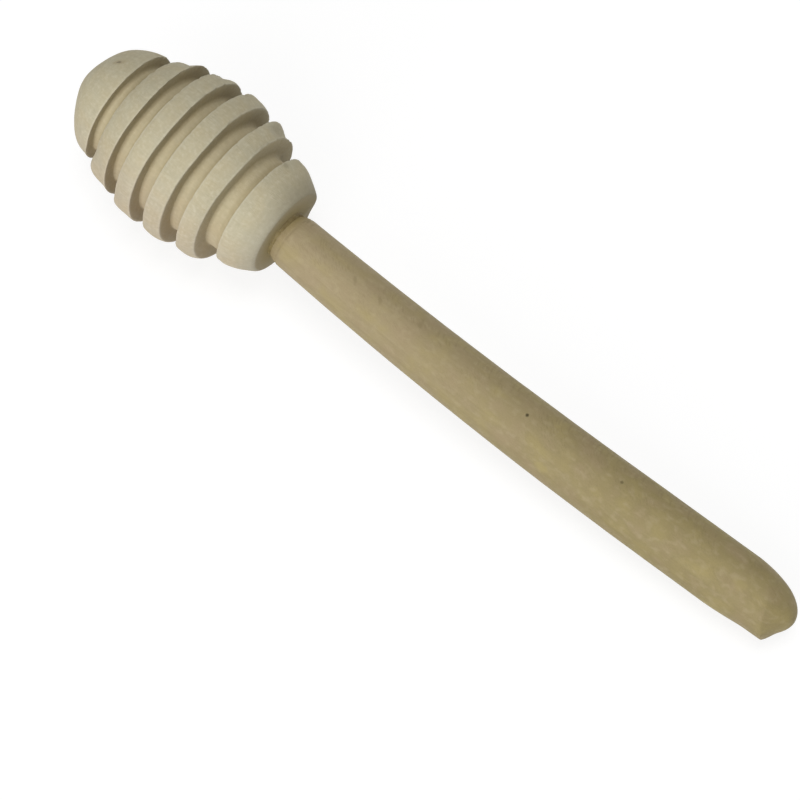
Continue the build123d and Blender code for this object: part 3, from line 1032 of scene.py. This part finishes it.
def yellow_handle_wood():
    """The handle's finish: sanded wood with slanted flecks, darker towards its end."""
    material, tree, shader, place = start_finish("yellow_handle_wood")
    wood = use(tree, grain, {
        "Place": place,
        "Pith": (0.0, 22.0, 34.0),
        "Ring Width": 2.3,
        "Waver": 4.0,
        "Fibre Length": 5.0,
        "Fleck Length": 1.5,
        "Fleck Width": 0.4,
        "Fleck Slant": radians(46),
    })
    clouds = use(tree, mottle, {"Place": place, "Size": 3.4})
    speckle = use(tree, mottle, {"Place": place, "Size": 1.1})
    lines = use(tree, turning_lines, {"Place": place, "Spacing": 0.5})["Lines"]
    part = parted(tree, place)
    down_the_handle = ramp(tree, part["X"], head_length + GRIP_RADIUS, grip_x, kind="LINEAR")
    colour = blend(tree, down_the_handle, HONEY_NECK, HONEY_END)
    colour = blend(tree, times(tree, wood["Rings"], HONEY_RINGS), colour, HONEY_DUSK)
    streaks = ramp(tree, wood["Fibres"], *FIBRE_BAND, 0.0, HONEY_FIBRES, kind="LINEAR")
    colour = blend(tree, streaks, colour, HONEY_DUSK)
    yellow = maths(tree, "MULTIPLY", clouds["Broad"], HONEY_YELLOWNESS, clamp=True)
    colour = blend(tree, yellow, colour, HONEY_YELLOW)
    pink = maths(tree, "MULTIPLY", clouds["Broad"], -HONEY_PINKNESS, clamp=True)
    colour = blend(tree, pink, colour, HONEY_PINK)
    light = maths(tree, "MULTIPLY", speckle["Broad"], HONEY_LIGHTNESS, clamp=True)
    colour = blend(tree, light, colour, HONEY_LIGHT)
    # Flecks, made stronger on the side that the bow turns away from as painted shade
    fleck_and_shade_share = ramp(tree, part["Y"], GRIP_RADIUS, -GRIP_RADIUS, *HONEY_FLECK_AND_SHADE_SHARES)
    colour = blend(tree, times(tree, wood["Flecks"], fleck_and_shade_share), colour, HONEY_DUSK)
    colour = shaded(tree, colour, ramp(tree, speckle["Fine"], -1.0, 1.0, *MOTTLE_SHADES, kind="LINEAR"))
    # Painted light and shade across the handle: lighter on the side that the bow turns away from, darker on
    # the bulging side
    colour = shaded(tree, colour, ramp(tree, part["Y"], -GRIP_RADIUS, GRIP_RADIUS, *HONEY_PAINTED_SIDE_LIGHT))

    # Glue has soaked into the shoulder, with painted shade making the stain stronger on the side that the
    # bow turns away from, and painted shade darkens the crease that runs round where the shoulder ends
    down_the_neck = maths(tree, "ADD", part["X"], times(tree, part["Y"], sin(lean)))
    one_side = ramp(tree, part["Y"], NECK_RADIUS / 2, -NECK_RADIUS, *SOAKED_AND_SHADED_SIDES)
    soaked = ramp(tree, down_the_neck, neck_x + SOAKED_RUN / 2, bow_x + CREASE_WIDTH, *SOAKED_ALONG)
    soaked = times(tree, soaked, one_side)
    soaked = times(tree, soaked, ramp(tree, clouds["Fine"], -1.0, 0.4, 0.4, 1.0))
    soaked = times(tree, soaked, ramp(tree, down_the_neck, bow_x, bow_x + 2 * CREASE_WIDTH, 1.0, 0.0))
    colour = blend(tree, soaked, colour, SOAKED)
    # Painted shade in the crease, broken up along its length
    from_crease = maths(tree, "ABSOLUTE", maths(tree, "SUBTRACT", down_the_neck, bow_x))
    crease_shade = ramp(tree, from_crease, CREASE_WIDTH / 3, CREASE_WIDTH, CREASE_SHADE_SHARE, 0.0)
    crease_shade = times(tree, crease_shade, ramp(tree, speckle["Broad"], -0.6, 0.6, 0.2, 1.0))
    colour = blend(tree, crease_shade, colour, HONEY_DUSK)
    colour = spotted(tree, place, colour, HONEY_MARKS)
    tree.links.new(colour, shader.inputs["Base Color"])
    roughness = ramp(tree, wood["Fibres"], *FIBRE_ROUGH_BAND, *HONEY_ROUGHNESS)
    tree.links.new(roughness, shader.inputs["Roughness"])
    shader.inputs["Specular IOR Level"].default_value = WOOD_GLOSS
    grain_relief(tree, shader, wood, lines, HONEY_RELIEF_SHARES, HONEY_RELIEF)
    return material


# The dried glue
GLUE_BROWN = (0.200, 0.150, 0.062)
GLUE_YELLOW = (0.290, 0.228, 0.100)
GLUE_BLOTCHES = 1.6
GLUE_ROUGHNESS = (0.42, 0.6)
GLUE_RELIEF = 0.05


def dried_glue():
    """The glue's finish: brown and yellow by turns, and a little lumpy."""
    material, tree, shader, place = start_finish("dried_glue")
    clouds = use(tree, mottle, {"Place": place, "Size": GLUE_BLOTCHES})
    colour = blend(tree, ramp(tree, clouds["Broad"], -1.0, 1.0), GLUE_BROWN, GLUE_YELLOW)
    tree.links.new(colour, shader.inputs["Base Color"])
    tree.links.new(ramp(tree, clouds["Fine"], -1.0, 1.0, *GLUE_ROUGHNESS), shader.inputs["Roughness"])
    shader.inputs["Specular IOR Level"].default_value = GLUE_GLOSS
    relief(tree, shader, clouds["Fine"], GLUE_RELIEF)
    return material


lay_on_table(head, "dipper_head", pale_head_wood())
lay_on_table(handle, "handle", yellow_handle_wood())
lay_on_table(glue, "glue", dried_glue())

# Table and room: the camera sees them white, and the light that they give the dipper is dimmer
TABLE_SIZE = 6.0
put_down()
bpy.ops.mesh.primitive_plane_add(size=TABLE_SIZE)
table = bpy.context.object
table.name = "table"


def direct_rays(tree):
    """1 for what the camera sees, straight or by way of a gloss or a glass."""
    ray = node(tree, "ShaderNodeLightPath").outputs
    seen = maths(tree, "MAXIMUM", ray["Is Camera Ray"], ray["Is Glossy Ray"])
    return maths(tree, "MAXIMUM", seen, ray["Is Transmission Ray"])


TABLE_GREY = (0.8, 0.8, 0.8, 1.0)
SHADOW_GREY = (0.27, 0.27, 0.27, 1.0)
WHITE = (1.0, 1.0, 1.0, 1.0)
TABLE_GLOW = 0.8
table_finish = bpy.data.materials.new("white_table")
table_finish.use_nodes = True
tree = table_finish.node_tree
tree.nodes.clear()
matt = node(tree, "ShaderNodeBsdfDiffuse", None, {"Color": TABLE_GREY}).outputs[0]
shadow = node(tree, "ShaderNodeBsdfDiffuse", None, {"Color": SHADOW_GREY}).outputs[0]
glow = node(tree, "ShaderNodeEmission", None, {"Color": WHITE, "Strength": TABLE_GLOW}).outputs[0]
seen_table = node(tree, "ShaderNodeAddShader", None, {0: shadow, 1: glow}).outputs[0]
surface = node(tree, "ShaderNodeMixShader", None, {0: direct_rays(tree), 1: matt, 2: seen_table}).outputs[0]
node(tree, "ShaderNodeOutputMaterial", None, {"Surface": surface})
table.data.materials.append(table_finish)

ROOM_LIGHT = 0.36
world = bpy.data.worlds.new("studio")
bpy.context.scene.world = world
world.use_nodes = True
tree = world.node_tree
tree.nodes.clear()
room = node(tree, "ShaderNodeBackground", None, {"Color": WHITE, "Strength": ROOM_LIGHT}).outputs[0]
backdrop = node(tree, "ShaderNodeBackground", None, {"Color": WHITE, "Strength": 1.0}).outputs[0]
surface = node(tree, "ShaderNodeMixShader", None, {0: direct_rays(tree), 1: room, 2: backdrop}).outputs[0]
node(tree, "ShaderNodeOutputWorld", None, {"Surface": surface})

# Camera
CAMERA_AZIMUTH = 39.94
CAMERA_ELEVATION = 64.986
CAMERA_PLACE = Vector((126.193, -158.07, 421.499))
LENS = 117.0
SENSOR_WIDTH = 36.0
NEAREST_SEEN = 0.01
azimuth, elevation = radians(CAMERA_AZIMUTH), radians(CAMERA_ELEVATION)
back = Vector((sin(azimuth) * cos(elevation), -cos(azimuth) * cos(elevation), sin(elevation)))
right = Vector((cos(azimuth), sin(azimuth), 0))
up = back.cross(right)
camera = bpy.data.objects.new("camera", bpy.data.cameras.new("camera"))
bpy.context.scene.collection.objects.link(camera)
camera.location = CAMERA_PLACE * MM
camera.rotation_euler = Matrix((right, up, back)).transposed().to_euler()
camera.data.lens = LENS
camera.data.sensor_width = SENSOR_WIDTH
camera.data.clip_start = NEAREST_SEEN
bpy.context.scene.camera = camera

# Lamps
LAMP_DISTANCE = 1.0
LAMP_SIZE = 0.5


def soft_lamp(name, turn, lift, power):
    """A square lamp aimed at the dipper, from a turn round it and a lift over the table in degrees."""
    lamp = bpy.data.objects.new(name, bpy.data.lights.new(name, "AREA"))
    bpy.context.scene.collection.objects.link(lamp)
    lamp.data.size = LAMP_SIZE
    lamp.data.energy = power
    turn, lift = radians(turn), radians(lift)
    way = Vector((cos(turn) * cos(lift), sin(turn) * cos(lift), sin(lift)))
    lamp.location = way * LAMP_DISTANCE
    lamp.rotation_euler = way.to_track_quat("Z", "Y").to_euler()


soft_lamp("front_low", turn=270, lift=12, power=4.5)
soft_lamp("front_high", turn=292.5, lift=38, power=1.8)
soft_lamp("overhead", turn=0, lift=90, power=3.2)

bpy.context.scene.view_settings.view_transform = "Standard"
